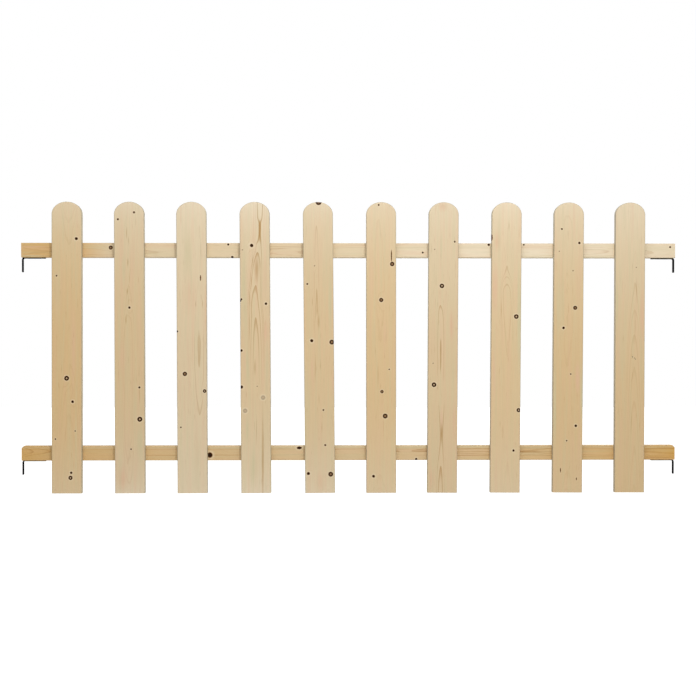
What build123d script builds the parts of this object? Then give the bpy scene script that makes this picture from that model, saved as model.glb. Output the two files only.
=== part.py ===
from build123d import *
from math import atan, degrees
import os

# Wooden picket fence panel in millimetres, +Z up, pickets facing -Y, rails along X.
# The origin is on the outer face of the lower left bracket's hanging leg, midway
# between its two screw holes: the face that goes against the left-hand post.

os.makedirs("parts", exist_ok=True)

# Panel
panel_length = 1800.0
picket_height = 797.0
picket_gap = 89.5
least_end_space = 70.0  # bare rail at each end, before the row of pickets is centred

# Pickets: planed boards with a half-elliptical head
picket_width = 82.0
picket_thickness = 18.0
head_rise = 34.0
picket_edge = 2.5
foot_edge = 0.5
# Hand assembly: foot to the right of the head, and shift to the right, for each picket
picket_leans = (-1.0, 2.0, 3.0, 4.5, 6.5, 0.5, -4.5, -5.0, -4.5, -2.0)
picket_shifts = (-0.5, -1.0, -2.5, -0.5, 2.0, 1.0, -1.0, 0.5, 0.5, -1.0)

# Rails: planed battens behind the pickets
rail_height = 40.0
rail_depth = 28.0
rail_edge = 2.0
feet_below_lower_rail = 88.0
crowns_above_upper_rail = 111.0
lower_rail_corner = 5.5  # cut off the lower rail's upper end corners

# Brackets: bent steel strip, one leg under the rail and one hanging against the post
bracket_thickness = 2.5
bracket_width = 12.0
rail_leg = 64.0
hanging_leg = 40.0
bend_radius = 3.0
leg_corner = 3.0
hole_from_bend = 12.0
hole_from_tip = 10.0
steel_clearance = 0.2

# Countersunk wood screws
screw_radius = 2.0
screw_head_radius = 3.7
screw_point = 4.0
wood_clearance = 0.05
wood_over_bracket_screw = 17.5
wood_over_picket_screw = 6.0
screw_from_picket_side = 20.0
screw_from_rail_edge = 12.0

# Heights, from the origin between the lower left bracket's screw holes
lower_rail_bottom = (hole_from_bend + hanging_leg - hole_from_tip) / 2
feet = lower_rail_bottom - feet_below_lower_rail
crowns = feet + picket_height
upper_rail_bottom = crowns - crowns_above_upper_rail - rail_height
picket_middle = (feet + crowns) / 2

# Depths, with the brackets centred under the rails
rail_front = -rail_depth / 2
rail_back = rail_front + rail_depth

# Row of pickets: as many as the rails have room for, centred on the rails
picket_pitch = picket_width + picket_gap
row_room = panel_length - 2 * least_end_space + picket_gap
picket_count = int(row_room // picket_pitch)
row_length = picket_count * picket_pitch - picket_gap
first_picket = (panel_length - row_length + picket_width) / 2

picket_screw_length = rail_depth + picket_thickness - wood_over_picket_screw
bracket_screw_length = bracket_thickness + rail_height - wood_over_bracket_screw


def lean_of(number):
    """How far the foot of a picket stands to the right of its head."""
    return picket_leans[number % len(picket_leans)]


def picket_centre(number, height):
    """Place along the panel of a picket's centre line at a height."""
    upright = first_picket + number * picket_pitch + picket_shifts[number % len(picket_shifts)]
    return upright - lean_of(number) * (height - picket_middle) / picket_height


def screw(length, clearance=0.0):
    """Countersunk screw pointing up from its flat head; with a clearance, the hole for it."""
    head = screw_head_radius + clearance
    shank = screw_radius + clearance
    outline = Polyline(
        (0, 0), (head, 0), (shank, head - shank), (shank, length - screw_point), (0, length + clearance), close=True
    )
    return revolve(Plane.XZ * make_face(outline), Axis.Z)


def picket_screw_places(number):
    """Places of a picket's screws, two to a rail and staggered, pointing forwards."""
    across = picket_width / 2 - screw_from_picket_side
    up = rail_height / 2 - screw_from_rail_edge
    places = []
    for rail_bottom in (lower_rail_bottom, upper_rail_bottom):
        for side in (-1, 1):
            height = rail_bottom + rail_height / 2 + side * up
            x = picket_centre(number, height) + side * across
            places.append(Location((x, rail_back, height), (90, 0, 0)))
    return places


def left_bracket_screw_places(rail_bottom):
    """Places of the screws that go up through a left-hand bracket into its rail."""
    return [
        Location((x, 0, rail_bottom - bracket_thickness))
        for x in (hole_from_bend, rail_leg - hole_from_tip)
    ]


def at_right_end(shape):
    """The same piece at the other end of the panel."""
    return mirror(shape, about=Plane.YZ.offset(panel_length / 2))


def picket(number):
    """Board with its head, eased edges, lean and screw holes."""
    half = picket_width / 2
    shoulder = picket_height / 2 - head_rise
    sides = Polyline((half, shoulder), (half, -picket_height / 2), (-half, -picket_height / 2), (-half, shoulder))
    head = EllipticalCenterArc((0, shoulder), half, head_rise, start_angle=0, arc_size=180)
    board = extrude(Plane.XZ * make_face([sides, head]), picket_thickness)
    foot_edges = board.edges().group_by(Axis.Z)[0]
    outline_edges = [
        edge
        for face in (board.faces().sort_by(Axis.Y)[0], board.faces().sort_by(Axis.Y)[-1])
        for edge in face.edges()
        if edge not in foot_edges
    ]
    board = fillet(outline_edges, picket_edge)
    board = chamfer(board.faces().sort_by(Axis.Z)[0].edges(), foot_edge)
    lean = degrees(atan(lean_of(number) / picket_height))
    board = Location((picket_centre(number, picket_middle), rail_front, picket_middle), (0, -lean, 0)) * board
    for place in picket_screw_places(number):
        board -= place * screw(picket_screw_length, wood_clearance)
    return board


def rail(bottom, end_corner=0.0):
    """Batten with eased long edges and the holes of the screws that meet it."""
    outline = Plane.XZ * Rectangle(panel_length, rail_height, align=(Align.MIN, Align.MIN))
    batten = Location((0, rail_back, bottom)) * extrude(outline, rail_depth)
    if end_corner > 0:
        batten = chamfer(batten.edges().filter_by(Axis.Y).group_by(Axis.Z)[-1], end_corner)
    long_edges = batten.edges().filter_by(Axis.X)
    batten = fillet(long_edges, rail_edge)
    for number in range(picket_count):
        for place in picket_screw_places(number):
            if bottom < place.position.Z < bottom + rail_height:
                batten -= place * screw(picket_screw_length, wood_clearance)
    for place in left_bracket_screw_places(bottom):
        hole = place * screw(bracket_screw_length, wood_clearance)
        batten = batten - hole - at_right_end(hole)
    return batten


def left_bracket(rail_bottom):
    """Bent strip with rounded tips and two countersunk holes in each leg."""
    inside = bracket_thickness
    outline = Polyline(
        (0, 0), (rail_leg, 0), (rail_leg, -inside), (inside, -inside), (inside, -hanging_leg), (0, -hanging_leg),
        close=True,
    )
    strip = extrude(Plane.XZ * make_face(outline), bracket_width / 2, both=True)
    bends = strip.edges().filter_by(Axis.Y)
    outer_bend = bends.sort_by(lambda edge: edge.center().X - edge.center().Z)[0]
    strip = fillet(outer_bend, bend_radius + bracket_thickness)
    bends = strip.edges().filter_by(Axis.Y)
    inner_bend = bends.sort_by_distance(Vector(inside, 0, -inside))[0]
    strip = fillet(inner_bend, bend_radius)
    strip = fillet(strip.edges().filter_by(Axis.Z).group_by(Axis.X)[-1], leg_corner)
    strip = fillet(strip.edges().filter_by(Axis.X).group_by(Axis.Z)[0], leg_corner)
    strip = Location((0, 0, rail_bottom)) * strip
    hole = screw(bracket_screw_length, steel_clearance)
    for place in left_bracket_screw_places(rail_bottom):
        strip -= place * hole
    for drop in (hole_from_bend, hanging_leg - hole_from_tip):
        strip -= Location((bracket_thickness, 0, rail_bottom - drop), (0, -90, 0)) * hole
    return strip


def save(name, *solids):
    """Write one named piece."""
    shape = solids[0] if len(solids) == 1 else Compound(solids)
    export_step(shape, f"parts/{name}.step")


for number in range(picket_count):
    name = f"picket_{number + 1:02d}"
    save(name, picket(number))
    screws = [place * screw(picket_screw_length) for place in picket_screw_places(number)]
    save(f"{name}_screws", *screws)

save("upper_rail", rail(upper_rail_bottom))
save("lower_rail", rail(lower_rail_bottom, lower_rail_corner))

for level, rail_bottom in (("upper", upper_rail_bottom), ("lower", lower_rail_bottom)):
    bracket = left_bracket(rail_bottom)
    screws = [place * screw(bracket_screw_length) for place in left_bracket_screw_places(rail_bottom)]
    save(f"{level}_left_bracket", bracket)
    save(f"{level}_left_bracket_screws", *screws)
    save(f"{level}_right_bracket", at_right_end(bracket))
    save(f"{level}_right_bracket_screws", *[at_right_end(piece) for piece in screws])
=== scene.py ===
import logging
import math
from collections.abc import Mapping, Sequence
from dataclasses import dataclass
from enum import Enum

import bmesh
import bpy
from bmesh.types import BMEdge, BMesh, BMVert
from bpy.types import Material, Node, NodeSocket, NodeTree, Object
from mathutils import Matrix, Vector


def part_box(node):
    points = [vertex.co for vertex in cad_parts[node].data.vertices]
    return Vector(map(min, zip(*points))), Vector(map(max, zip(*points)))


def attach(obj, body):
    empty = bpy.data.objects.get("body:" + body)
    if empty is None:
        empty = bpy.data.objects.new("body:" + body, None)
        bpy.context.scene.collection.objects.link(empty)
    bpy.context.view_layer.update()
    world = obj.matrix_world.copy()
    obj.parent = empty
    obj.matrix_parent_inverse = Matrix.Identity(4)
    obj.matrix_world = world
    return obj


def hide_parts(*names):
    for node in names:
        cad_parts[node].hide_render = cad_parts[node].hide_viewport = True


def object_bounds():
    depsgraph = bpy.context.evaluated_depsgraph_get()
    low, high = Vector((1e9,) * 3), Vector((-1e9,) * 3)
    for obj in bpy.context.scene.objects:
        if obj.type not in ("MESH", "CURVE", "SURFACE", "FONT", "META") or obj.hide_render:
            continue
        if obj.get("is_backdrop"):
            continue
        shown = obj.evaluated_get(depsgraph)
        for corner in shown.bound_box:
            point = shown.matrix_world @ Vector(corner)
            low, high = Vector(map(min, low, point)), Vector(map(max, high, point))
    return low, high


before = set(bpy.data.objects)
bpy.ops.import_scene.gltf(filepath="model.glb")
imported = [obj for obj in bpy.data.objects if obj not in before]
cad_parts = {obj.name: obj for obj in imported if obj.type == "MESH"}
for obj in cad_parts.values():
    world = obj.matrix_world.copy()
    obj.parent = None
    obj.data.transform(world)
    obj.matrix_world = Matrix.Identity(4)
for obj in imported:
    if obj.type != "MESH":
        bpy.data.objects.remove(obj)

LOG = logging.getLogger("fence_panel")
MM = 0.001
MERGE = 0.001 * MM
# Radius of knots and streaks through a board, in millimetres: they run straight to its back
ENDLESS = 1e6
BODY = "root"
PHOTO_SIZE = 696
SENSOR_WIDTH = 36.0
# What may feed the input of a node
Source = Node | NodeSocket | float | Sequence[float]
Pair = tuple[float, float]
Triple = tuple[float, float, float]
SMOOTH = {"interpolation_type": "SMOOTHSTEP"}


def linear(colour: str) -> tuple[float, float, float, float]:
    """Turns an sRGB hex colour into linear RGBA.

    Args:
        colour: six hex digits, such as "d8c29a".

    Returns:
        Linear red, green and blue with an alpha of 1.
    """
    parts = [int(colour[i:i + 2], 16) / 255 for i in (0, 2, 4)]
    red, green, blue = (c / 12.92 if c <= 0.04045 else ((c + 0.055) / 1.055) ** 2.4 for c in parts)
    return red, green, blue, 1.0


@dataclass
class Nodes:
    """A node tree that is being filled."""

    tree: NodeTree

    def add(self, kind: str, inputs: Mapping[str | int, Source] | Sequence[Source] = (),
            **settings: object) -> Node:
        """Adds one node with its settings and what feeds its inputs.

        Args:
            kind: the node's type, without the ShaderNode in front.
            inputs: a value, a socket, or a node for its first output, for each input in order or by name.
            settings: properties of the node.

        Returns:
            The new node.
        """
        node = self.tree.nodes.new(kind if kind.startswith("NodeGroup") else f"ShaderNode{kind}")
        for name, value in settings.items():
            setattr(node, name, value)
        for key, value in inputs.items() if isinstance(inputs, Mapping) else enumerate(inputs):
            named = [socket for socket in node.inputs if socket.enabled and socket.name == key]
            socket = named[0] if named else node.inputs[key]
            if isinstance(value, Node):
                value = next(output for output in value.outputs if output.enabled)
            if isinstance(value, NodeSocket):
                self.tree.links.new(value, socket)
            else:
                socket.default_value = value
        return node


def new_material(name: str) -> tuple[Material, Nodes]:
    """Makes an empty node material.

    Args:
        name: the material's name.

    Returns:
        The material and its node tree.
    """
    material = bpy.data.materials.new(name)
    material.use_nodes = True
    material.node_tree.nodes.clear()
    return material, Nodes(material.node_tree)


def dress(piece: Object, material: Material) -> None:
    """Gives the whole of a piece one material."""
    piece.data.materials.clear()
    piece.data.materials.append(material)


def mesh_object(name: str, shape: BMesh) -> Object:
    """Turns a finished bmesh into an object of the scene.

    Args:
        name: the object's name.
        shape: the shape in metres, which is freed.

    Returns:
        The object, at the origin.
    """
    mesh = bpy.data.meshes.new(name)
    shape.to_mesh(mesh)
    shape.free()
    piece = bpy.data.objects.new(name, mesh)
    bpy.context.collection.objects.link(piece)
    return piece


class KnotLook(Enum):
    """How a knot shows: brown core, black core, dark bark ring and pale halo, each from 0 to 1."""

    PIN = (0.95, 0.75, 0.0, 0.35)
    BLACK = (1.0, 0.95, 0.0, 0.4)
    RING = (0.45, 0.0, 1.0, 0.5)
    BROWN = (0.8, 0.1, 0.9, 0.4)
    PALE = (0.4, 0.0, 0.2, 0.45)
    FAINT = (0.6, 0.1, 0.0, 0.2)
    SLIT = (0.95, 0.5, 0.0, 0.15)


PIN, BLACK, RING, BROWN, PALE, FAINT, SLIT = KnotLook


class Tint(Enum):
    """What a streak turns the wood to: rosy, olive or late wood's brown, as shares."""

    ROSY = (1, 0, 0)
    OLIVE = (0, 1, 0)
    TAN = (0, 0, 1)


ROSY, OLIVE, TAN = Tint


@dataclass(frozen=True)
class Knot:
    """A knot of a board, in millimetres.

    Attributes:
        across: from the board's middle line, to the right on a picket and down on a rail.
        along: from the foot of a picket or the left end of a rail.
        radius: half its width across the board.
        look: how it shows.
        stretch: its length along the board over its width.
    """

    across: float
    along: float
    radius: float
    look: KnotLook = BLACK
    stretch: float = 1.0


@dataclass(frozen=True)
class Streak:
    """A long soft streak of a board, placed as a knot is; in millimetres.

    Attributes:
        across, along: its middle.
        half_width, half_length: where it has died away.
        share: how strong it is, from 0 to 1.
        tint: what it turns the wood to.
    """

    across: float
    along: float
    half_width: float
    half_length: float
    share: float = 0.5
    tint: Tint = TAN


def new_group(name: str, takes: Mapping[str, str], gives: Mapping[str, str]) -> tuple[NodeTree, Nodes]:
    """Makes a node group that has its sockets.

    Args:
        name: the group's name.
        takes: the name of each value that it takes, with its kind, Vector or Float.
        gives: the same for what it gives.

    Returns:
        The group and its nodes.
    """
    group = bpy.data.node_groups.new(name, "ShaderNodeTree")
    for way, sockets in (("INPUT", takes), ("OUTPUT", gives)):
        for socket, kind in sockets.items():
            group.interface.new_socket(socket, in_out=way, socket_type=f"NodeSocket{kind}")
    return group, Nodes(group)


def streak_group() -> NodeTree:
    """Makes the node group that adds one streak to those before it.

    Returns:
        A group that takes a point of the board, the streak's centre, radii and tint, and the sum of the
        tints so far, and gives the new sum.
    """
    takes = dict.fromkeys(("Point", "Centre", "Radii", "Tint", "Sum"), "Vector")
    group, nodes = new_group("streak", takes, {"Sum": "Vector"})
    given = nodes.add("NodeGroupInput").outputs
    offset = nodes.add("VectorMath", (given["Point"], given["Centre"]), operation="SUBTRACT")
    scaled = nodes.add("VectorMath", (offset, given["Radii"]), operation="DIVIDE")
    distance = nodes.add("VectorMath", (scaled,), operation="LENGTH")
    strength = nodes.add("MapRange", (distance, 1.0, 0.0), **SMOOTH)
    tint = nodes.add("VectorMath", {0: given["Tint"], "Scale": strength}, operation="SCALE")
    total = nodes.add("VectorMath", (tint, given["Sum"]), operation="ADD")
    nodes.add("NodeGroupOutput", {"Sum": total})
    return group


@dataclass(frozen=True)
class KnotShape:
    """Where a knot's parts lie, in its radii: each has died away at the first and is full at the second.

    Attributes:
        core, middle, halo: the brown and the black core, and the pale halo.
        ring_place: the middle of the bark ring.
        ring, rind: the ring's black and its brown rim, from there.
        bulge: one over how far the year rings bulge round it, across, through and along the board.
        push: how far it pushes them.
    """

    core: Pair = (1.2, 0.85)
    middle: Pair = (1.05, 0.6)
    halo: Pair = (2.2, 1.1)
    ring_place: float = 0.86
    ring: Pair = (0.42, 0.2)
    rind: Pair = (0.6, 0.35)
    bulge: Triple = (0.33, 0.33, 0.11)
    push: float = 0.7

    def group(self) -> NodeTree:
        """Makes the node group that draws one knot over what the knots before it drew.

        Returns:
            A group that takes a point of the board, the knot's centre, radii and look, and the marks
            (brown, black, halo) and ring shift so far, and gives the new marks and shift.
        """
        takes = dict.fromkeys(("Point", "Centre", "Radii", "Marks"), "Vector")
        takes |= dict.fromkeys(("Brown", "Black", "Ring", "Halo", "Shift"), "Float")
        group, nodes = new_group("knot", takes, {"Marks": "Vector", "Shift": "Float"})
        given = nodes.add("NodeGroupInput").outputs
        offset = nodes.add("VectorMath", (given["Point"], given["Centre"]), operation="SUBTRACT")
        scaled = nodes.add("VectorMath", (offset, given["Radii"]), operation="DIVIDE")
        distance = nodes.add("VectorMath", (scaled,), operation="LENGTH")
        off_ring = nodes.add("Math", (distance, self.ring_place), operation="SUBTRACT")
        off_ring = nodes.add("Math", (off_ring,), operation="ABSOLUTE")
        shares = []
        for place, reach, look in (
            (distance, self.core, "Brown"), (off_ring, self.rind, "Ring"), (distance, self.middle, "Black"),
            (off_ring, self.ring, "Ring"), (distance, self.halo, "Halo"),
        ):
            share = nodes.add("MapRange", (place, *reach), **SMOOTH)
            shares.append(nodes.add("Math", (share, given[look]), operation="MULTIPLY"))
        core, rind, middle, ring, halo = shares
        brown = nodes.add("Math", (core, rind), operation="MAXIMUM")
        black = nodes.add("Math", (middle, ring), operation="MAXIMUM")
        marks = nodes.add("CombineXYZ", (brown, black, halo))
        marks = nodes.add("VectorMath", (marks, given["Marks"]), operation="MAXIMUM")
        stretched = nodes.add("VectorMath", (scaled, self.bulge), operation="MULTIPLY")
        reach = nodes.add("VectorMath", (stretched,), operation="LENGTH")
        bulge = nodes.add("MapRange", (reach, 1.0, 0.0), **SMOOTH)
        width = nodes.add("SeparateXYZ", (given["Radii"],)).outputs["X"]
        bulge = nodes.add("Math", (bulge, width), operation="MULTIPLY")
        shift = nodes.add("Math", (bulge, self.push, given["Shift"]), operation="MULTIPLY_ADD")
        nodes.add("NodeGroupOutput", {"Marks": marks, "Shift": shift})
        return group


@dataclass(frozen=True)
class Figure:
    """The figure of one board's wood, in millimetres.

    Attributes:
        heart: places along the board, each with how far behind the front and how far across the heart of
            the tree lies there. Where it comes nearer, the year rings open into pointed arches.
        tone: places along the board, each with how far its colour goes from pale (0) to amber (1). This is
            partly the wood's own colour and partly painted light that makes the picket heads paler, standing
            in for light from above.
        bold: how far from the heart the darkest ring ends. Those inside it fade, those outside are faint.
        ring_width: width of one year's growth.
        contrast: strength of the dark late wood, from 0 to 1.
        marked: places along the board, each with the share of that strength there.
        wander: how far the rings stray from the true shape.
        seed: place in the noise, so that each board has its own streaks.
        shade: lightness against other boards.
        knots: the knots.
        streaks: the streaks.
    """

    heart: Sequence[Triple]
    tone: Sequence[Pair]
    bold: float
    ring_width: float = 2.0
    contrast: float = 0.3
    marked: Sequence[Pair] = ((0, 1.0),)
    wander: float = 5.0
    seed: float = 0.0
    shade: float = 1.0
    knots: Sequence[Knot] = ()
    streaks: Sequence[Streak] = ()


@dataclass(frozen=True)
class Board:
    """Where a board lies, for its wood's pattern.

    Its own frame has X across (to the right on a picket, down on a rail), Y back from the front face and
    Z along it, from the foot or the left end, in millimetres.
    """

    node: str
    lying: bool
    figure: Figure

    @property
    def turn(self) -> float:
        """How far the board's own frame is turned about Y."""
        return math.pi / 2 if self.lying else 0.0

    @property
    def origin(self) -> Vector:
        """The start of the board's middle line, on its front."""
        low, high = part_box(self.node)
        if self.lying:
            return Vector((low[0], low[1], (low[2] + high[2]) / 2))
        return Vector(((low[0] + high[0]) / 2, low[1], low[2]))

    @property
    def length(self) -> float:
        """The board's length in millimetres."""
        low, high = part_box(self.node)
        along = 0 if self.lying else 2
        return (high[along] - low[along]) / MM


@dataclass(frozen=True)
class Noise:
    """Noise whose blots have a real size.

    Attributes:
        blot: a blot's size across, through and along the board, in millimetres.
        layer: place in the noise, so that no two of them are alike.
        detail, roughness: how many finer layers it has, and how strong they are.
    """

    blot: Triple
    layer: float
    detail: float = 2.0
    roughness: float = 0.55


@dataclass(frozen=True)
class PlanedSpruce:
    """Spruce, planed and left untreated: pale early wood, thin darker late wood, fine fibre and pin knots.

    Planing leaves a dull silky face on which the rings show as soft lines. Along each board the colour goes
    from pale straw to amber, partly the wood's own colour and partly painted light that makes the picket
    heads paler. The rounded edges and sides that turn away from the front are made greyer and darker as
    painted shade. Sizes are in millimetres.

    Attributes:
        wave, ripple: what moves the year rings about, the ripple by a share of the wave's reach.
        fray, sway: what moves the outlines of knots and of streaks about.
        rosy to rail_edge_shade: where each tint starts and is full, and its most.
        late_span: where in a year late wood starts and is full, and where it has ended.
        year_noise: how fast the width of the years changes.
        weak_year: the share of late wood in the weakest year.
        bold_band: how far inside its place the bold ring starts.
        inside, outside: how far from there the other rings have turned faint, and how faint.
        shimmer: how much the fibre changes the lightness, over the noise's usual range.
        relief: height of the bump.
    """

    # Ramp from pale over straw to amber along each board: partly the wood's own colour, partly painted light
    # that makes picket heads paler
    pale: str = "efe0c4"
    straw: str = "e0c9a2"
    amber: str = "d3a044"
    late: str = "cbaf84"
    rose: str = "e2ba97"
    olive: str = "d2c59c"
    # Painted shade: the darker grey towards which rounded edges and sides that turn away from the front are
    # mixed
    edge: str = "aaa28a"
    end_grain: str = "b8935f"
    halo: str = "f6e8c8"
    bark: str = "1e0c02"
    knot_heart: str = "7a4a14"
    roughness: float = 0.62
    late_roughness: float = 0.5
    ior: float = 1.5
    specular: float = 0.4
    knot_specular: float = 0.1
    fibre: Noise = Noise((1.3, 1.3, 90.0), 1.3, 3.0)
    canal: Noise = Noise((2.2, 2.2, 40.0), 4.4, 1.0)
    blush: Noise = Noise((11.0, 11.0, 260.0), 2.9, 3.0)
    wave: Noise = Noise((60.0, 60.0, 190.0), 3.1)
    ripple: Noise = Noise((7.0, 7.0, 45.0), 5.7)
    ripple_share: float = 0.25
    fray: Noise = Noise((3.0, 40.0, 3.0), 0.0)
    fray_reach: float = 1.8
    sway: Noise = Noise((7.0, 7.0, 45.0), 6.3)
    sway_reach: float = 3.0
    rosy: Triple = (0.48, 0.74, 0.4)
    greenish: Triple = (0.5, 0.26, 0.45)
    canals: Triple = (0.66, 0.8, 0.4)
    ends: Triple = (0.45, 0.95, 0.5)
    # Painted shade on the sides and rounded edges of pickets and rails: where the turn from the front
    # starts, is full, and its most
    picket_edge_shade: Triple = (0.98, 0.7, 0.6)
    rail_edge_shade: Triple = (0.98, 0.7, 0.2)
    late_span: tuple[Pair, Pair] = ((0.65, 0.96), (1.0, 0.98))
    year_noise: float = 0.45
    weak_year: float = 0.7
    bold_band: float = 0.2
    inside: Pair = (9.0, 0.3)
    outside: Pair = (0.3, 0.22)
    shimmer: float = 0.035
    noise_range: Pair = (0.25, 0.75)
    bump: float = 0.3
    relief: float = 0.25


@dataclass
class BoardWood:
    """The wood of one board: its material, and the nodes that it has so far.

    Attributes:
        board: the board.
        finish: what its wood is like.
        knot, streak: the node groups that draw one knot and one streak.
    """

    board: Board
    finish: PlanedSpruce
    knot: NodeTree
    streak: NodeTree

    def __post_init__(self) -> None:
        """Starts the material with a point's place in the board's own frame and its share of the length."""
        self.material, self.nodes = new_material(f"planed_spruce_{self.board.node}")
        self.coordinates = self.nodes.add("TexCoord").outputs
        turned = {
            "Vector": self.coordinates["Object"], "Location": self.board.origin,
            "Rotation": (0, self.board.turn, 0), "Scale": (MM, MM, MM),
        }
        self.place = self.nodes.add("Mapping", turned, vector_type="TEXTURE")
        along = self.nodes.add("SeparateXYZ", (self.place,)).outputs["Z"]
        self.share = self.nodes.add("MapRange", (along, 0.0, self.board.length))

    def trace(self, sizes: Sequence[Pair]) -> Source:
        """Adds a value that changes smoothly along the board.

        Args:
            sizes: places along the board in millimetres, each with the value there.

        Returns:
            The value.
        """
        values = [value for _, value in sizes]
        lowest, highest = min(values), max(values)
        if highest == lowest:
            return lowest
        curve = self.nodes.add("FloatCurve", {"Value": self.share})
        length = self.board.length
        spots = [(along / length, (value - lowest) / (highest - lowest)) for along, value in sizes]
        points = curve.mapping.curves[0].points
        points[0].location = (0.0, spots[0][1])
        points[1].location = (1.0, spots[-1][1])
        for spot in spots[1:-1]:
            points.new(*spot)
        curve.mapping.update()
        return self.nodes.add("MapRange", (curve, 0.0, 1.0, lowest, highest))

    def noise(self, place: Source, noise: Noise) -> Node:
        """Adds a noise, read at a place of the board."""
        look = {
            "Vector": self.nodes.add("VectorMath", (place, noise.blot), operation="DIVIDE"), "Scale": 1.0,
            "W": self.board.figure.seed + noise.layer, "Detail": noise.detail, "Roughness": noise.roughness,
        }
        return self.nodes.add("TexNoise", look, noise_dimensions="4D")

    def moved(self, place: Source, noise: Noise, reach: float) -> Node:
        """Moves a point about by a noise.

        Args:
            place: the point.
            noise: the noise.
            reach: how far apart its lowest and highest are, in millimetres.

        Returns:
            The moved point.
        """
        random = self.noise(place, noise).outputs["Color"]
        random = self.nodes.add("VectorMath", (random, (0.5, 0.5, 0.5)), operation="SUBTRACT")
        move = (random, (reach, reach, reach), place)
        return self.nodes.add("VectorMath", move, operation="MULTIPLY_ADD")

    def knots(self) -> tuple[Source, Source]:
        """Draws the board's knots, one over the other.

        Returns:
            The marks (brown, black, halo) and how far the year rings are pushed outwards.
        """
        place = self.moved(self.place, self.finish.fray, self.finish.fray_reach)
        marks: Source = (0.0, 0.0, 0.0)
        shift: Source = 0.0
        for knot in self.board.figure.knots:
            one = {
                "Point": place, "Centre": (knot.across, 0, knot.along), "Marks": marks, "Shift": shift,
                "Radii": (knot.radius, ENDLESS, knot.radius * knot.stretch),
                **dict(zip(("Brown", "Black", "Ring", "Halo"), knot.look.value)),
            }
            drawn = self.nodes.add("Group", one, node_tree=self.knot).outputs
            marks, shift = drawn["Marks"], drawn["Shift"]
        return marks, shift

    def streaks(self) -> Source:
        """Adds up the board's streaks.

        Returns:
            The shares of rosy, olive and tan.
        """
        place = self.moved(self.place, self.finish.sway, self.finish.sway_reach)
        total: Source = (0.0, 0.0, 0.0)
        for streak in self.board.figure.streaks:
            one = {
                "Point": place, "Centre": (streak.across, 0, streak.along), "Sum": total,
                "Radii": (streak.half_width, ENDLESS, streak.half_length),
                "Tint": [part * streak.share for part in streak.tint.value],
            }
            total = self.nodes.add("Group", one, node_tree=self.streak).outputs["Sum"]
        return total

    def years(self, shift: Source) -> tuple[Node, Node]:
        """Works out the year rings as rounds about the heart, which runs crookedly behind the board.

        Args:
            shift: how far knots push the rings outwards.

        Returns:
            How far outside the bold ring the point is, in millimetres and in years of uneven width.
        """
        nodes, finish, figure = self.nodes, self.finish, self.board.figure
        strayed = self.moved(self.place, finish.wave, figure.wander)
        strayed = self.moved(strayed, finish.ripple, figure.wander * finish.ripple_share)
        across, back, _ = nodes.add("SeparateXYZ", (strayed,)).outputs
        depth = self.trace([(along, behind) for along, behind, _ in figure.heart])
        aside = self.trace([(along, aside) for along, _, aside in figure.heart])
        across = nodes.add("Math", (across, aside), operation="SUBTRACT")
        back = nodes.add("Math", (back, depth), operation="SUBTRACT")
        spoke = nodes.add("CombineXYZ", (across, back))
        radius = nodes.add("VectorMath", (spoke,), operation="LENGTH")
        radius = nodes.add("Math", (radius, shift), operation="ADD")
        out = nodes.add("Math", (radius, figure.bold), operation="SUBTRACT")
        years = nodes.add("Math", (out, figure.ring_width), operation="DIVIDE")
        # The noise is 0.5 at years 0, so that a ring ends right at the bold one's place
        look = {"W": years, "Scale": finish.year_noise, "Detail": 0.0}
        uneven = nodes.add("TexNoise", look, noise_dimensions="1D")
        uneven = nodes.add("Math", (uneven, 0.5), operation="SUBTRACT")
        return out, nodes.add("Math", (years, uneven), operation="ADD")

    def late_wood(self, shift: Source) -> Node:
        """Darkens the end of each year.

        Args:
            shift: how far knots push the rings outwards.

        Returns:
            How much late wood there is, from 0 to 1.
        """
        nodes, finish, figure = self.nodes, self.finish, self.board.figure
        out, years = self.years(shift)
        year = nodes.add("Math", (years,), operation="FLOOR")
        season = nodes.add("Math", (years, year), operation="SUBTRACT")
        rise, fall = (nodes.add("MapRange", (season, *reach), **SMOOTH) for reach in finish.late_span)
        year = nodes.add("Math", (year, figure.seed), operation="ADD")
        chance = nodes.add("TexWhiteNoise", {"W": year}, noise_dimensions="1D")
        strength = nodes.add("MapRange", (chance, 0.0, 1.0, finish.weak_year))
        (near, faint_inside), (beyond, faint_outside) = finish.inside, finish.outside
        inside = nodes.add("MapRange", (out, -near, -finish.bold_band, faint_inside))
        outside = nodes.add("MapRange", (out, 0.0, beyond, 1.0, faint_outside))
        late = rise
        for part in (fall, strength, inside, outside, self.trace(figure.marked), figure.contrast):
            late = nodes.add("Math", (late, part), operation="MULTIPLY")
        return late

    def build(self) -> Material:
        """Makes the wood.

        Returns:
            The material.
        """
        nodes, finish, figure = self.nodes, self.finish, self.board.figure
        marks, shift = self.knots()
        brown, black, halo = nodes.add("SeparateXYZ", (marks,)).outputs
        streaks = nodes.add("SeparateXYZ", (self.streaks(),)).outputs
        fibre, blush, canal = (
            self.noise(self.place, noise) for noise in (finish.fibre, finish.blush, finish.canal)
        )
        normal = nodes.add("VectorMath", (self.coordinates["Normal"],), operation="ABSOLUTE")
        endwise, facing, upwards = nodes.add("SeparateXYZ", (normal,)).outputs
        # Painted shade: the more a face turns away from the front, the more it is mixed towards the darker
        # edge grey
        edges = finish.rail_edge_shade
        if not self.board.lying:
            endwise, edges = upwards, finish.picket_edge_shade
        rose, olive, canal, ends, painted_edge_shade = (
            nodes.add("MapRange", (value, start, full, 0.0, most))
            for value, (start, full, most) in (
                (blush, finish.rosy), (blush, finish.greenish), (canal, finish.canals),
                (endwise, finish.ends), (facing, edges),
            )
        )
        rose, olive, late = (
            nodes.add("Math", (part, drawn), operation="ADD")
            for part, drawn in zip((rose, olive, self.late_wood(shift)), streaks)
        )
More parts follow.
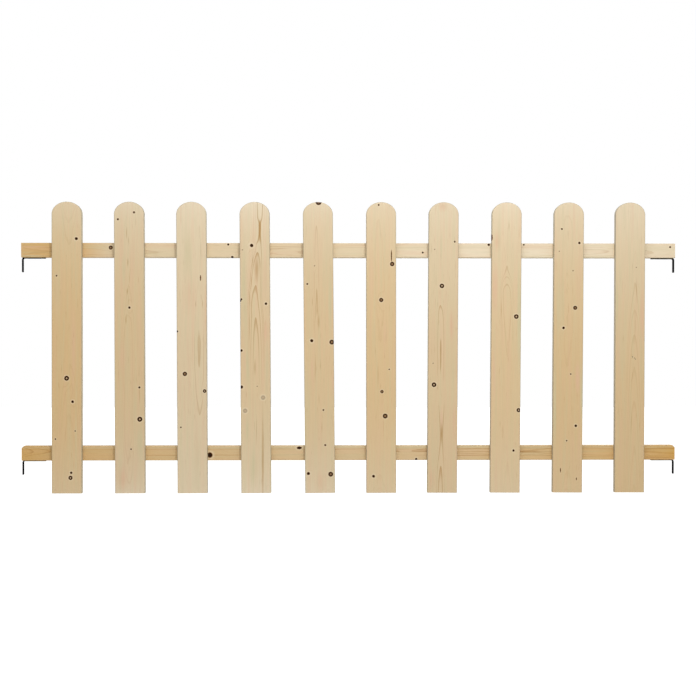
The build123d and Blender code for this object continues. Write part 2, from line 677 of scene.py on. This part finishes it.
        # Partly painted light: the ramp along each board makes the picket heads paler, where the light from
        # above fell
        colour = nodes.add("ValToRGB", (self.trace(figure.tone),))
        stops = colour.color_ramp.elements
        stops.new(0.5)
        for stop, tint in zip(stops, (finish.pale, finish.straw, finish.amber)):
            stop.color = linear(tint)
        for part, tint, blend in (
            (rose, finish.rose, "MIX"), (olive, finish.olive, "MIX"), (late, finish.late, "MULTIPLY"),
            (canal, finish.late, "MULTIPLY"), (ends, finish.end_grain, "MIX"), (painted_edge_shade, finish.edge, "MIX"),
            (halo, finish.halo, "MIX"), (brown, finish.knot_heart, "MIX"), (black, finish.bark, "MIX"),
        ):
            mix = {"Factor": part, "A": colour, "B": linear(tint)}
            colour = nodes.add("Mix", mix, data_type="RGBA", blend_type=blend)
        shimmer = (fibre, *finish.noise_range, 1 - finish.shimmer, 1 + finish.shimmer)
        light = nodes.add("MapRange", shimmer)
        light = nodes.add("Math", (light, figure.shade), operation="MULTIPLY")
        colour = nodes.add("VectorMath", {0: colour, "Scale": light}, operation="SCALE")
        relief = nodes.add("Math", (fibre, late), operation="ADD")
        relief = nodes.add("Math", (relief, black), operation="SUBTRACT")
        dents = {"Strength": finish.bump, "Distance": finish.relief * MM, "Height": relief}
        gloss = (late, 0.0, 1.0, finish.roughness, finish.late_roughness)
        dull = (brown, 0.0, 1.0, finish.specular, finish.knot_specular)
        surface = {
            "Base Color": colour, "Roughness": nodes.add("MapRange", gloss), "IOR": finish.ior,
            "Specular IOR Level": nodes.add("MapRange", dull), "Normal": nodes.add("Bump", dents),
        }
        nodes.add("OutputMaterial", (nodes.add("BsdfPrincipled", surface),))
        return self.material


@dataclass(frozen=True)
class Steel:
    """Steel whose colour and gloss change in clouds, dimpled or smooth; sizes in millimetres.

    Attributes:
        name: the material's name.
        tint, clouded: its colour, and the one in the clouds.
        cloud, detail: a cloud's size, and how many finer layers it has.
        clouds: the height of the noise where clouds start and are full, and how much they show.
        roughness: the least and the most.
        metallic, specular: bare metal or a coating, and how much the coating reflects.
        dimple, depth: how wide and how deep its dimples are, if it has any.
    """

    name: str
    tint: str
    clouded: str
    cloud: float
    detail: float
    clouds: Triple
    roughness: Pair
    metallic: float
    specular: float = 0.5
    ior: float = 1.5
    dimple: float = 0.8
    depth: float = 0.0
    bump: float = 0.3

    def material(self) -> Material:
        """Makes the steel.

        Returns:
            The material.
        """
        material, nodes = new_material(self.name)
        place = nodes.add("TexCoord").outputs["Object"]
        clouds = {"Vector": place, "Scale": 1 / (self.cloud * MM), "Detail": self.detail}
        noise = nodes.add("TexNoise", clouds)
        start, full, most = self.clouds
        cloud = nodes.add("MapRange", (noise, start, full, 0.0, most))
        tints = {"Factor": cloud, "A": linear(self.tint), "B": linear(self.clouded)}
        gloss = (noise, 0.0, 1.0, *self.roughness)
        surface = {
            "Base Color": nodes.add("Mix", tints, data_type="RGBA"), "Metallic": self.metallic,
            "Roughness": nodes.add("MapRange", gloss), "Specular IOR Level": self.specular,
            "IOR": self.ior,
        }
        if self.depth:
            dimples = nodes.add("TexNoise", {"Vector": place, "Scale": 1 / (self.dimple * MM)})
            dents = {"Strength": self.bump, "Distance": self.depth * MM, "Height": dimples}
            surface["Normal"] = nodes.add("Bump", dents)
        nodes.add("OutputMaterial", (nodes.add("BsdfPrincipled", surface),))
        return material


# A dip coating on steel strip: near black and dull, faintly dimpled and a little worn
BLACK_COATED_STEEL = Steel(
    "black_coated_steel", "030303", "12110f", cloud=9.0, detail=4.0, clouds=(0.6, 0.8, 0.5),
    roughness=(0.75, 1.0), metallic=0.0, specular=0.02, depth=0.05,
)
# Plating: bright, faintly yellow metal with fine clouds and soft reflections
ZINC_PLATED_STEEL = Steel(
    "zinc_plated_steel", "c9c3ae", "9c9684", cloud=1.5, detail=3.0, clouds=(0.0, 1.0, 1.0),
    roughness=(0.26, 0.46), metallic=1.0,
)


@dataclass(frozen=True)
class Screw:
    """A countersunk wood screw with a cross recess; sizes in millimetres."""

    head_radius: float = 3.7
    shank_radius: float = 2.0
    rim: float = 0.15
    point: float = 4.0
    recess_reach: float = 2.1
    recess_width: float = 0.9
    recess_depth: float = 1.5
    recess_taper: float = 0.55
    sides: int = 24

    def body(self, screw: BMesh, length: float) -> list[BMEdge]:
        """Turns the head, shank and point on the Z axis, open at the head.

        Args:
            screw: the screw.
            length: from the head's face at z = 0 to the point.

        Returns:
            The edges round the open head.
        """
        shoulder = self.head_radius - self.shank_radius
        outline = [
            (self.head_radius, 0.0), (self.head_radius, self.rim), (self.shank_radius, shoulder),
            (self.shank_radius, length - self.point), (0.0, length),
        ]
        verts = [screw.verts.new((radius * MM, 0, height * MM)) for radius, height in outline]
        edges = [screw.edges.new(pair) for pair in zip(verts, verts[1:])]
        axis = {"axis": (0, 0, 1), "cent": (0, 0, 0), "angle": math.tau}
        bmesh.ops.spin(screw, geom=verts + edges, steps=self.sides, use_merge=True, **axis)
        bmesh.ops.remove_doubles(screw, verts=screw.verts, dist=MERGE)
        return [edge for edge in screw.edges if edge.is_boundary]

    def recess(self, screw: BMesh, rim: list[BMEdge]) -> None:
        """Closes the head with a face that has a tapering cross sunk in it.

        Args:
            screw: the screw.
            rim: the edges round the open head.
        """
        reach, half = self.recess_reach * MM, self.recess_width / 2 * MM
        arm = [Vector((reach, -half, 0)), Vector((reach, half, 0)), Vector((half, half, 0))]
        turns = [Matrix.Rotation(quarter * math.pi / 2, 3, "Z") for quarter in range(4)]
        cross = [screw.verts.new(turn @ corner) for turn in turns for corner in arm]
        mouth = [screw.edges.new(pair) for pair in zip(cross, cross[1:] + cross[:1])]
        bmesh.ops.bridge_loops(screw, edges=rim + mouth)
        lid = screw.faces.new(cross)
        sunk = bmesh.ops.extrude_face_region(screw, geom=[lid])["geom"]
        bmesh.ops.delete(screw, geom=[lid], context="FACES_ONLY")
        floor = [part for part in sunk if isinstance(part, BMVert)]
        taper = (self.recess_taper, self.recess_taper, 1)
        bmesh.ops.scale(screw, verts=floor, vec=taper)
        bmesh.ops.translate(screw, verts=floor, vec=(0, 0, self.recess_depth * MM))

    def model(self, length: float) -> BMesh:
        """Models a whole screw on the Z axis, its head's face at z = 0 and its point above.

        Args:
            length: from the head's face to the point.

        Returns:
            The screw.
        """
        screw = bmesh.new()
        self.recess(screw, self.body(screw, length))
        bmesh.ops.recalc_face_normals(screw, faces=screw.faces)
        return screw


@dataclass(frozen=True)
class ScrewSet:
    """The screws of one node, modelled where the frame has them.

    Attributes:
        node: the node.
        way: which way the screws point.
        screw: the kind of screw.
    """

    node: str
    way: Vector
    screw: Screw = Screw()

    def boxes(self) -> list[tuple[Vector, Vector]]:
        """Finds the node's screws.

        Returns:
            The lowest and highest corner of each.
        """
        loose = bmesh.new()
        loose.from_mesh(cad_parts[self.node].data)
        bmesh.ops.remove_doubles(loose, verts=loose.verts, dist=MERGE)
        left = set(loose.verts)
        found = []
        while left:
            island = [left.pop()]
            for vert in island:
                near = {other for edge in vert.link_edges for other in edge.verts} & left
                left -= near
                island.extend(near)
            corners = [[pick(vert.co[i] for vert in island) for i in range(3)] for pick in (min, max)]
            found.append((Vector(corners[0]), Vector(corners[1])))
        loose.free()
        return found

    def build(self, finish: Material) -> Object:
        """Models the screws, joined as one piece that stands for the node.

        Args:
            finish: the screws' material.

        Returns:
            The new piece.
        """
        whole = bmesh.new()
        turn = Vector((0, 0, 1)).rotation_difference(self.way).to_matrix().to_4x4()
        for low, high in self.boxes():
            length = abs((high - low).dot(self.way))
            head = (low + high) / 2 - self.way * length / 2
            one = self.screw.model(length / MM)
            bmesh.ops.transform(one, matrix=Matrix.Translation(head) @ turn, verts=one.verts)
            mesh = bpy.data.meshes.new("one_screw")
            one.to_mesh(mesh)
            one.free()
            whole.from_mesh(mesh)
            bpy.data.meshes.remove(mesh)
        piece = mesh_object(f"{self.node}_dressed", whole)
        dress(piece, finish)
        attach(piece, BODY)
        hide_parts(self.node)
        return piece


PICKET_FIGURES: dict[str, Figure] = {
    "picket_01": Figure(
        heart=((3, 52, 8), (255, 60, 8), (528, 66, 8), (800, 58, 8)),
        tone=((0, 0.55), (360, 0.7), (797, 0.35)),
        bold=64, ring_width=2.6, contrast=0.15, seed=11, shade=1.01,
        knots=(
            Knot(27, 696, 4.2), Knot(-27, 595, 2.6, PIN), Knot(0, 315, 5.1, RING), Knot(16, 251, 3.8),
            Knot(23, 171, 2.0, PIN), Knot(-31, 149, 2.3, PIN), Knot(12, 57, 3.4), Knot(10, 43, 4.5, RING),
        ),
        streaks=(Streak(-24, 560, 14, 160, 0.3, OLIVE), Streak(18, 420, 14, 150, 0.3, ROSY)),
    ),
    "picket_02": Figure(
        heart=((3, 62, 0), (309, 55, -4), (582, 58, -3), (700, 58.8, -6), (801, 60, 0)),
        tone=((0, 0.2), (360, 0.6), (797, 0.17)),
        bold=58, ring_width=1.6, contrast=0.2, wander=3.5, seed=12, shade=0.98,
        knots=(
            Knot(13, 768, 3.2, PIN), Knot(-31, 749, 2.9, PIN), Knot(0, 508, 3.3), Knot(27, 290, 2.9),
            Knot(28, 203, 5.3, RING), Knot(4, 121, 2.3, PIN),
        ),
        streaks=(
            Streak(-7, 712, 2.2, 26, 0.6), Streak(-2, 690, 1.6, 18, 0.4), Streak(-4, 632, 1.8, 16, 0.6),
            Streak(-15, 610, 8, 70, 0.5, OLIVE), Streak(0, 588, 1.6, 28, 0.35),
            Streak(-6, 552, 2.2, 13, 0.6), Streak(-2, 528, 1.5, 26, 0.3), Streak(-9, 474, 2.4, 18, 0.55),
            Streak(-18, 370, 16, 60, 0.4, ROSY), Streak(27, 275, 1.7, 45, 0.45),
            Streak(26, 140, 14, 70, 0.6, OLIVE), Streak(-20, 40, 20, 50, 0.6, ROSY),
            Streak(-24, 690, 16, 120, 0.2, ROSY),
        ),
    ),
    "picket_03": Figure(
        heart=(
            (3, 67, 22), (150, 65, 22), (218, 64, 22), (300, 63, 21), (400, 62.6, 20), (506, 63.2, 20),
            (640, 65, 20), (801, 70, 18),
        ),
        tone=((0, 0.28), (360, 0.43), (797, 0.1)),
        bold=64, ring_width=1.6, contrast=0.6, wander=0.8, seed=13, shade=0.99,
        marked=((0, 0.1), (170, 0.1), (210, 0.8), (400, 1), (440, 0.4), (520, 0.2), (797, 0.3)),
        knots=(
            Knot(24, 589, 1.7, SLIT, 4.5), Knot(-39.5, 443, 2.8), Knot(-19, 327, 4.7, BROWN),
            Knot(35, 280, 3.7, RING), Knot(-30, 181, 2.2, PIN),
        ),
        streaks=(
            Streak(-8, 655, 14, 90, 0.5, OLIVE), Streak(25, 660, 2, 60, 0.3),
            Streak(38, 500, 4, 130, 0.7, ROSY), Streak(-6, 540, 26, 80, 0.3, ROSY), Streak(11, 518, 1.8, 14),
            Streak(29, 520, 1.8, 18), Streak(14, 90, 16, 120, 0.3, OLIVE),
        ),
    ),
    "picket_04": Figure(
        heart=(
            (2, 55.4, 3), (227, 55.4, 2), (391, 55.6, 2), (479, 56.2, 1), (530, 56.8, -1),
            (568, 57.5, 1), (626, 58.3, 4), (677, 59.4, 8), (704, 59.88, 12), (738, 59.9, 12.5),
            (755, 59.6, 12.5), (801, 59.45, 12.5),
        ),
        tone=((0, 0.2), (360, 0.55), (797, 0.03)),
        bold=60, ring_width=1.25, contrast=0.95, wander=0.2, seed=14,
        marked=((0, 0.1), (230, 0.1), (320, 0.25), (390, 0.7), (480, 1), (797, 1)),
        knots=(
            Knot(-10, 678, 4.8), Knot(-35, 666, 2.0, FAINT), Knot(-38, 531, 2.6), Knot(-41, 527, 3.0),
            Knot(29, 519, 3.6), Knot(-38, 391, 3.6), Knot(-38, 291, 4.4), Knot(5, 293, 1.8, FAINT),
            Knot(21, 262, 5.2, PALE), Knot(-28, 226, 5.2, PALE),
        ),
        streaks=(
            Streak(-34, 560, 16, 200, 0.5, OLIVE), Streak(4, 615, 9, 55, 0.6), Streak(12, 722, 4, 32),
            Streak(28, 600, 10, 130, 0.4, ROSY), Streak(-22, 345, 6, 75, 0.7, OLIVE),
            Streak(-1, 345, 5, 30, 0.4), Streak(20, 90, 4.5, 190, 0.7), Streak(32, 340, 8, 120, 0.5, OLIVE),
            Streak(-22, 175, 7, 60, 0.7, OLIVE), Streak(-5, 70, 18, 70, 0.5, OLIVE),
            Streak(3, 172, 1.8, 55, 0.45), Streak(28, 440, 8, 50, 0.6, ROSY), Streak(-7, 636, 1.6, 34),
            Streak(-11, 584, 1.6, 36), Streak(-15, 528, 1.7, 38), Streak(-16, 460, 1.8, 60, 0.45),
        ),
    ),
    "picket_05": Figure(
        heart=(
            (2, 54, -4), (400, 55, -7), (450, 55.3, -7), (503, 55.5, -6), (528, 55.58, -6),
            (640, 55.75, -7), (733, 56, -7), (802, 57, -6),
        ),
        tone=((0, 0.3), (360, 0.6), (797, 0.17)),
        bold=56, ring_width=0.5, contrast=0.5, wander=0.3, seed=15, shade=0.99,
        marked=((0, 0.1), (400, 0.1), (450, 0.8), (500, 1), (720, 0.8), (797, 0.6)),
        knots=(
            Knot(-1, 797, 6.4, BROWN), Knot(-12, 623, 2.2, FAINT), Knot(-32, 573, 2.7, PIN),
            Knot(-20, 418, 4.4), Knot(35, 414, 5.1, BROWN), Knot(12, 228, 2.6, PIN), Knot(17, 132, 2.9, PIN),
            Knot(-29, 54, 4.3), Knot(32, 52, 5.2, BROWN),
        ),
        streaks=(
            Streak(31, 530, 8, 120, 0.8, OLIVE), Streak(-5.5, 498, 2.2, 18, 0.6),
            Streak(-1, 470, 5, 25, 0.35), Streak(-18, 523, 1.8, 18, 0.4), Streak(-10, 345, 1.8, 50),
            Streak(-19, 340, 3, 45, 0.6, ROSY), Streak(38, 300, 5, 60, 0.8, ROSY),
            Streak(0, 258, 1.8, 20, 0.4), Streak(8, 182, 1.8, 24, 0.4), Streak(3, 30, 18, 45, 0.5, ROSY),
            Streak(-32, 250, 10, 160, 0.4, OLIVE),
        ),
    ),
    "picket_06": Figure(
        heart=((2, 58, -4), (254, 66, -4), (528, 63, -4), (802, 66, -4)),
        tone=((0, 0.51), (360, 0.65), (797, 0.28)),
        bold=64, ring_width=2.4, contrast=0.12, seed=16, shade=1.01,
        knots=(
            Knot(-7, 789, 2.6, PIN), Knot(28, 650, 1.6, SLIT, 10), Knot(30, 627.5, 4.7, BROWN),
            Knot(0, 529, 4.5, BROWN), Knot(22, 339, 2.2, PIN), Knot(2, 278, 3.6, BROWN),
            Knot(11, 211, 5.2, BROWN), Knot(-21, 46, 4.0),
        ),
        streaks=(
            Streak(-9, 322, 2.5, 45, 0.35), Streak(24, 370, 2.5, 60, 0.5, ROSY),
            Streak(12, 440, 8, 60, 0.3, ROSY), Streak(6, 180, 2, 40, 0.3),
        ),
    ),
    "picket_07": Figure(
        heart=(
            (1, 57.3, -7), (75, 57.7, -6), (110, 58.05, -5), (150, 58.2, -4), (180, 58.16, -4),
            (242, 57.85, -4), (300, 57.75, -6), (440, 57.75, -6), (490, 58.0, -6), (517, 58.4, -7),
            (560, 58.9, -6), (802, 60, 0),
        ),
        tone=((0, 0.53), (360, 0.55), (797, 0.2)),
        bold=58.4, ring_width=0.9, contrast=0.75, wander=0.25, seed=17, shade=0.975,
        marked=((0, 1), (230, 1), (255, 0.1), (300, 0.1), (325, 0.9), (500, 1), (540, 0.3), (797, 0.3)),
        knots=(
            Knot(32, 689, 2.6, PIN), Knot(-23, 668, 2.0, FAINT), Knot(-3, 568, 4.8, RING),
            Knot(-27, 356, 2.0, FAINT), Knot(-24.5, 297, 4.9, RING),
        ),
        streaks=(
            Streak(-5, 675, 4, 60, 0.6, OLIVE), Streak(24, 460, 12, 60, 0.6, ROSY),
            Streak(-4, 205, 6, 45, 0.9, ROSY), Streak(-4, 165, 4, 40, 0.7),
            Streak(30, 200, 8, 80, 0.6, ROSY), Streak(-14, 290, 2, 12), Streak(-30, 40, 10, 40, 0.5, ROSY),
            Streak(0, 785, 20, 20, 0.5, ROSY),
        ),
    ),
    "picket_08": Figure(
        heart=(
            (1, 57, 4), (254, 58.5, 4), (446, 57.6, 4), (530, 57, 3), (571, 57.9, 2), (600, 59.5, 2),
            (613, 59.88, 2), (630, 60.05, 2), (650, 60.5, 3), (720, 60.7, 5), (802, 61, 4),
        ),
        tone=((0, 0.5), (360, 0.6), (797, 0.14)),
        bold=60, ring_width=1.0, contrast=0.4, wander=0.7, seed=18, shade=1.01,
        marked=((0, 0.3), (380, 0.3), (480, 1), (797, 1)),
        knots=(
            Knot(-39, 701, 2.4, SLIT, 3.5), Knot(28.5, 484, 4.9, RING), Knot(35, 227, 4.3, RING),
            Knot(21, 116, 3.2),
        ),
        streaks=(
            Streak(8, 733, 1.8, 20), Streak(36, 480, 9, 220, 0.8, OLIVE),
            Streak(-30, 560, 10, 90, 0.7, ROSY), Streak(-13, 505, 1.8, 40, 0.45),
            Streak(-24, 690, 14, 40, 0.6, ROSY), Streak(-8, 170, 2, 25, 0.3),
            Streak(-32, 330, 8, 120, 0.6, ROSY),
        ),
    ),
    "picket_09": Figure(
        heart=((1, 58, -2), (254, 63, -2), (528, 60, -2), (803, 64, -2)),
        tone=((0, 0.6), (360, 0.66), (797, 0.23)),
        bold=62, ring_width=2.4, contrast=0.15, seed=19, shade=0.985,
        knots=(
            Knot(-18, 724, 2.6, PIN), Knot(30, 686, 3.4), Knot(-25, 663, 2.0, FAINT),
            Knot(13, 610, 2.3, FAINT), Knot(19, 508, 4.3, BROWN), Knot(-13, 453, 3.6),
            Knot(7, 326, 2.2, PIN), Knot(21, 184, 3.6), Knot(-4, 143, 2.3, PIN), Knot(-21, 62, 1.3, SLIT, 5),
            Knot(23, 38, 1.3, SLIT, 3),
        ),
        streaks=(
            Streak(-22, 520, 18, 110, 0.4, OLIVE), Streak(26, 315, 10, 60, 0.8, ROSY),
            Streak(37, 260, 6, 120, 0.7, OLIVE), Streak(-36, 250, 6, 200, 0.6, OLIVE),
        ),
    ),
    "picket_10": Figure(
        heart=((0, 50, 12), (254, 53, 12), (400, 55, 12), (529, 57.4, 13), (600, 58.2, 14), (803, 61, 10)),
        tone=((0, 0.63), (360, 0.61), (797, 0.17)),
        bold=58, ring_width=1.3, contrast=0.28, wander=1.2, seed=20, shade=0.97,
        knots=(
            Knot(17, 619, 1.8, FAINT), Knot(7, 373, 1.4, PIN), Knot(12, 370, 1.1, PIN),
            Knot(15, 367, 1.3, PIN),
        ),
        streaks=(
            Streak(33, 480, 9, 110, 0.8, ROSY), Streak(17, 560, 2, 50, 0.35), Streak(14, 460, 2, 50, 0.3),
            Streak(-36, 520, 5, 120, 0.8, OLIVE), Streak(-22, 400, 18, 160, 0.3, OLIVE),
            Streak(4, 190, 2, 45, 0.3),
        ),
    ),
}
RAIL_FIGURES: dict[str, Figure] = {
    "upper_rail": Figure(
        heart=((0, 46, 4), (489, 50, 4), (1039, 47, 4), (1800, 52, 4)),
        tone=((0, 0.8), (108, 0.82), (288, 0.42), (810, 0.4), (1296, 0.08), (1800, 0.2)),
        bold=50, ring_width=1.6, contrast=0.35, wander=3, seed=31, shade=1.02,
        knots=(
            Knot(-7, 245, 4.3, BROWN), Knot(-16, 567, 3.0), Knot(19, 578, 3.5), Knot(6, 1102, 2.6),
            Knot(-16, 1284, 3.4), Knot(-16, 1381, 2.3), Knot(-10, 1786, 2.8, PIN),
        ),
        streaks=(
            # Painted highlight: the olive streak low down at the left end is a pale line along the rounded
            # bottom edge above the bracket
            Streak(-9, 35, 2.5, 60, 0.8, ROSY), Streak(16, 30, 3, 60, 0.8, OLIVE),
            Streak(-10, 720, 1.3, 80, 0.7), Streak(-4.5, 700, 1.3, 50, 0.6), Streak(-2, 1500, 1.3, 90),
        ),
    ),
    "lower_rail": Figure(
        heart=((0, 40, -5), (489, 46, -5), (1039, 44, -5), (1800, 40, -5)),
        tone=((0, 0.9), (180, 0.78), (540, 0.68), (900, 0.61), (1350, 0.7), (1674, 0.82), (1800, 1)),
        bold=44, ring_width=1.5, contrast=0.6, wander=3, seed=32, shade=1.01,
        knots=(Knot(5, 516, 7.5), Knot(-14.5, 762, 3.9, BLACK, 1.8), Knot(17, 1084, 3.4)),
        streaks=(
            Streak(-15.5, 900, 3.5, 2500, 0.5, OLIVE), Streak(-11, 900, 1.4, 2500, 0.45),
            Streak(5.5, 480, 1.3, 300, 0.8), Streak(-3.5, 1300, 1.3, 350, 0.8),
            Streak(6.5, 1250, 1.3, 250, 0.7), Streak(14, 1740, 4, 90, 0.4),
        ),
    ),
}


@dataclass(frozen=True)
class PanelBoards:
    """The pickets and rails."""

    finish: PlanedSpruce = PlanedSpruce()

    def build(self) -> None:
        """Gives each board its own wood."""
        knot, streak = KnotShape().group(), streak_group()
        for figures, lying in ((PICKET_FIGURES, False), (RAIL_FIGURES, True)):
            for node, figure in figures.items():
                wood = BoardWood(Board(node, lying, figure), self.finish, knot, streak)
                dress(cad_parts[node], wood.build())
                LOG.info("%s: planed spruce with %d knots", node, len(figure.knots))


@dataclass(frozen=True)
class Fixings:
    """The brackets and all screws."""

    bracket_finish: Steel = BLACK_COATED_STEEL
    screw_finish: Steel = ZINC_PLATED_STEEL

    def build(self) -> None:
        """Dresses the brackets and models the screws."""
        black = self.bracket_finish.material()
        zinc = self.screw_finish.material()
        for node in list(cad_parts):
            if node.endswith("_bracket"):
                dress(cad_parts[node], black)
                LOG.info("%s: black coated steel", node)
            if node.endswith("_screws"):
                way = Vector((0, 0, 1) if "bracket" in node else (0, -1, 0))
                piece = ScrewSet(node, way).build(zinc)
                LOG.info("%s: %d faces", piece.name, len(piece.data.polygons))


@dataclass(frozen=True)
class Viewpoint:
    """Where the photograph was taken from, against the middle of the panel's front; in metres."""

    aside: float = -0.0518
    above: float = 0.0252
    stand_off: float = 3.2325
    turn_right: float = math.radians(0.843)
    tilt_down: float = math.radians(0.461)
    focal_pixels: float = 1180.6

    def build(self) -> None:
        """Adds the camera and makes it the scene's."""
        low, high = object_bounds()
        middle = (low + high) / 2
        data = bpy.data.cameras.new("camera")
        data.sensor_width = SENSOR_WIDTH
        data.lens = SENSOR_WIDTH * self.focal_pixels / PHOTO_SIZE
        camera = bpy.data.objects.new("camera", data)
        camera.location = (middle.x + self.aside, low.y - self.stand_off, middle.z + self.above)
        camera.rotation_euler = (math.pi / 2 - self.tilt_down, 0, -self.turn_right)
        bpy.context.collection.objects.link(camera)
        bpy.context.scene.camera = camera


@dataclass(frozen=True)
class Lamp:
    """A softbox, placed against the panel's middle; in metres and watts."""

    name: str
    place: Triple
    size: Pair
    power: float

    def build(self, middle: Vector) -> None:
        """Adds the lamp.

        Args:
            middle: the panel's middle, which it is turned towards.
        """
        data = bpy.data.lights.new(self.name, "AREA")
        data.shape = "RECTANGLE"
        data.size, data.size_y = self.size
        data.energy = self.power
        lamp = bpy.data.objects.new(self.name, data)
        away = Vector(self.place)
        lamp.location = middle + away
        lamp.rotation_euler = away.to_track_quat("Z", "Y").to_euler()
        bpy.context.collection.objects.link(lamp)


@dataclass(frozen=True)
class Studio:
    """Floor, background and lights; in metres.

    The panel hangs by its brackets, so the floor lies well below it. Floor and background show white, and
    the floor is darker where the panel keeps light from it.
    """

    floor_drop: float = 2.1
    floor_reach: float = 40.0
    floor_colour: str = "f2f2f0"
    floor_glow: float = 0.6
    glow_grows: Pair = (2.6, 4.8)
    floor_light: float = 0.15
    world_light: float = 0.3
    lamps: Sequence[Lamp] = (
        Lamp("key_light", (0.68, -2.5, 1.4), (0.3, 0.3), 24.0),
        Lamp("top_light", (0.0, -1.8, 3.2), (3.0, 1.8), 52.0),
        Lamp("front_light", (-0.5, -3.2, 0.3), (2.4, 1.6), 11.0),
        Lamp("back_light", (0.5, 3.0, 0.5), (2.4, 1.6), 28.0),
    )

    def seen(self, nodes: Nodes) -> Node:
        """Tells rays that are seen from those that carry light.

        Returns:
            1 for rays from the camera, straight or by gloss or glass, and 0 for others.
        """
        path = nodes.add("LightPath").outputs
        direct = nodes.add("Math", (path["Is Camera Ray"], path["Is Glossy Ray"]), operation="MAXIMUM")
        return nodes.add("Math", (direct, path["Is Transmission Ray"]), operation="MAXIMUM")

    def floor(self, low: Vector, middle: Vector) -> None:
        """Lays the floor.

        Args:
            low: the panel's lowest corner.
            middle: its middle.
        """
        below = Vector((middle.x, middle.y, low.z - self.floor_drop))
        ground = bmesh.new()
        bmesh.ops.create_grid(ground, x_segments=1, y_segments=1, size=self.floor_reach)
        bmesh.ops.translate(ground, verts=ground.verts, vec=below)
        piece = mesh_object("floor", ground)
        piece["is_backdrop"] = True
        material, nodes = new_material("pale_matt_floor")
        place = nodes.add("TexCoord").outputs["Object"]
        away = nodes.add("VectorMath", (place, below), operation="DISTANCE")
        glow = nodes.add("MapRange", (away, *self.glow_grows, self.floor_glow))
        strength = (self.seen(nodes), 0.0, 1.0, self.floor_light, glow)
        glow = nodes.add("MapRange", strength)
        white = nodes.add("Emission", ((1, 1, 1, 1), glow))
        matt = nodes.add("BsdfDiffuse", (linear(self.floor_colour),))
        nodes.add("OutputMaterial", (nodes.add("AddShader", (matt, white)),))
        dress(piece, material)

    def world(self) -> None:
        """Makes the background white to the eye and a soft light on the object."""
        world = bpy.data.worlds.new("studio")
        world.use_nodes = True
        world.node_tree.nodes.clear()
        nodes = Nodes(world.node_tree)
        strength = (self.seen(nodes), 0.0, 1.0, self.world_light, 1.0)
        sky = ((1, 1, 1, 1), nodes.add("MapRange", strength))
        nodes.add("OutputWorld", (nodes.add("Background", sky),))
        bpy.context.scene.world = world

    def build(self) -> None:
        """Sets the whole studio round the panel."""
        low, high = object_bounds()
        middle = (low + high) / 2
        self.world()
        self.floor(low, middle)
        for lamp in self.lamps:
            lamp.build(middle)
        bpy.context.scene.view_settings.view_transform = "Standard"


def main() -> None:
    """Builds the camera, the panel and the studio."""
    logging.basicConfig(level=logging.INFO, format="%(name)s: %(message)s")
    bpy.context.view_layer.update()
    Viewpoint().build()
    PanelBoards().build()
    Fixings().build()
    Studio().build()


if __name__ == "__main__":
    main()
